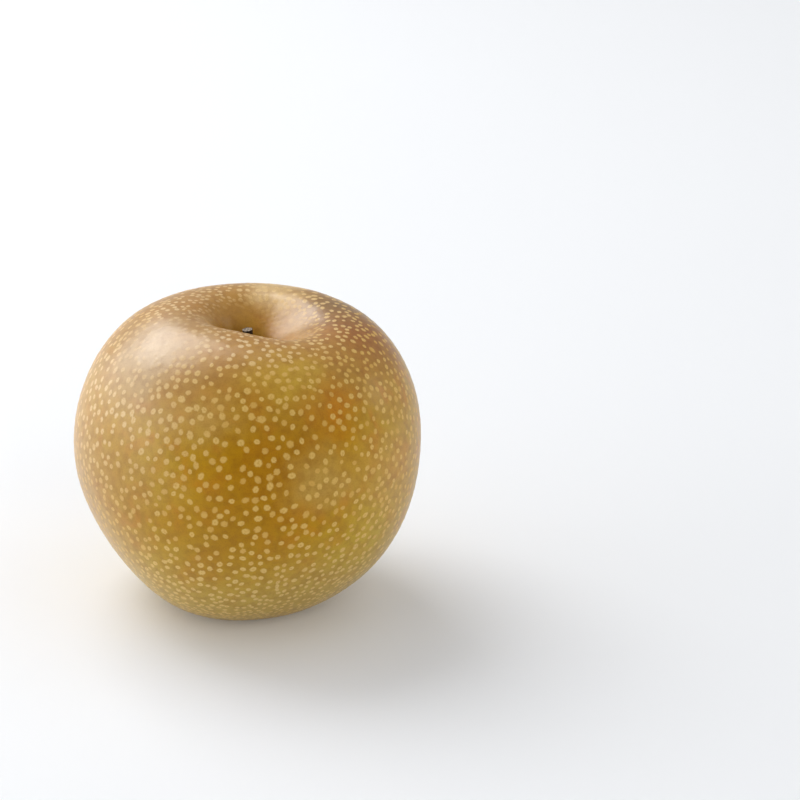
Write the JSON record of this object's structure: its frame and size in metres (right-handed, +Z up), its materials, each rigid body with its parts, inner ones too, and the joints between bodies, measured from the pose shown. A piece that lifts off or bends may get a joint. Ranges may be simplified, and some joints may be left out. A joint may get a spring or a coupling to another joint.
{
  "type": "nashi pear",
  "caption": "Whole nashi pear: round, slightly flattened fruit with dotted golden-brown skin, a stem cavity with a clipped stem stub, and a flat foot round its blossom-end basin.",
  "frame": {"origin": "middle of the fruit's bounding box, on the surface that its foot stands on", "axes": "+Z up along the fruit's axis towards the stem, -Y towards the viewer of the picture, +X to the viewer's right"},
  "size_m": [0.095, 0.095, 0.0839],
  "materials": {
    "skin": "thin waxy russet skin, satin, golden brown with olive and orange patches and pale corky dots",
    "stem": "dry dark brown bark with a paler clipped end"
  },
  "bodies": {
    "root": {"fruit": "skin", "stem": "stem"}
  },
  "joints": []
}
